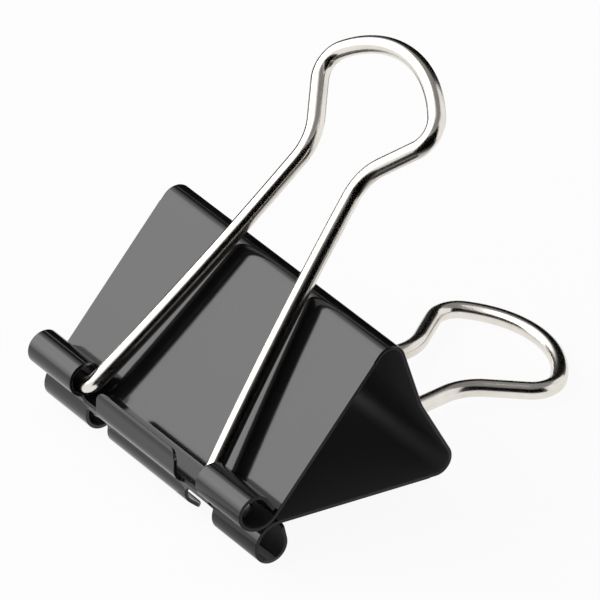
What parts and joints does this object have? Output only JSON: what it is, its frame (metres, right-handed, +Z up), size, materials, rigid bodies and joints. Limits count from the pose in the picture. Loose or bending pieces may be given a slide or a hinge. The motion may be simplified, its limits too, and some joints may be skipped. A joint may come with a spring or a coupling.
{
  "type": "foldback clip",
  "caption": "Foldback clip: a triangular strip of black spring steel with rolled jaw edges and bright wire handles that swing in them, to clamp a stack of sheets.",
  "frame": {"origin": "on the ground below the middle of the clip as it lies on its lower barrels and on the head of its lower handle", "axes": "+X along the jaws, +Y from the jaws towards the handles' heads, +Z up"},
  "size_m": [0.051, 0.0652, 0.0516],
  "materials": {
    "black_enamel": "gloss black baked enamel on spring steel",
    "nickel_wire": "bright nickel plate on drawn spring wire"
  },
  "bodies": {
    "spine": {"spine": "black_enamel", "upper_fold": "black_enamel", "lower_fold": "black_enamel"},
    "upper_jaw": {"upper_leaf": "black_enamel", "upper_left_barrel": "black_enamel", "upper_right_barrel": "black_enamel", "upper_lip": "black_enamel"},
    "lower_jaw": {"lower_leaf": "black_enamel", "lower_left_barrel": "black_enamel", "lower_right_barrel": "black_enamel", "lower_lip": "black_enamel"},
    "upper_handle": {"upper_handle": "nickel_wire"},
    "lower_handle": {"lower_handle": "nickel_wire"}
  },
  "joints": [
    {"name": "upper_jaw_flex", "type": "hinge", "parent": "spine", "child": "upper_jaw", "pos_m": [0, -0.00897, 0.02344], "axis": [-1, 0, 0], "range_deg": [0, 22], "stiffness_Nm_per_rad": 2.03, "springref_deg": -10.89, "deforming": ["upper_fold"]},
    {"name": "lower_jaw_flex", "type": "hinge", "parent": "spine", "child": "lower_jaw", "pos_m": [0, -0.00202, 0.00635], "axis": [1, 0, 0], "range_deg": [0, 22], "stiffness_Nm_per_rad": 2.03, "springref_deg": -10.89, "deforming": ["lower_fold"]},
    {"name": "upper_handle_swing", "type": "hinge", "parent": "upper_jaw", "child": "upper_handle", "pos_m": [0, -0.02995, 0.00742], "axis": [1, 0, 0], "range_deg": [0, 155]},
    {"name": "lower_handle_swing", "type": "hinge", "parent": "lower_jaw", "child": "lower_handle", "pos_m": [0, -0.02822, 0.00317], "axis": [-1, 0, 0], "range_deg": [0, 155]}
  ],
  "couplings": [
    {"joint": "lower_jaw_flex", "follows": "upper_jaw_flex", "ratio": 1}
  ]
}
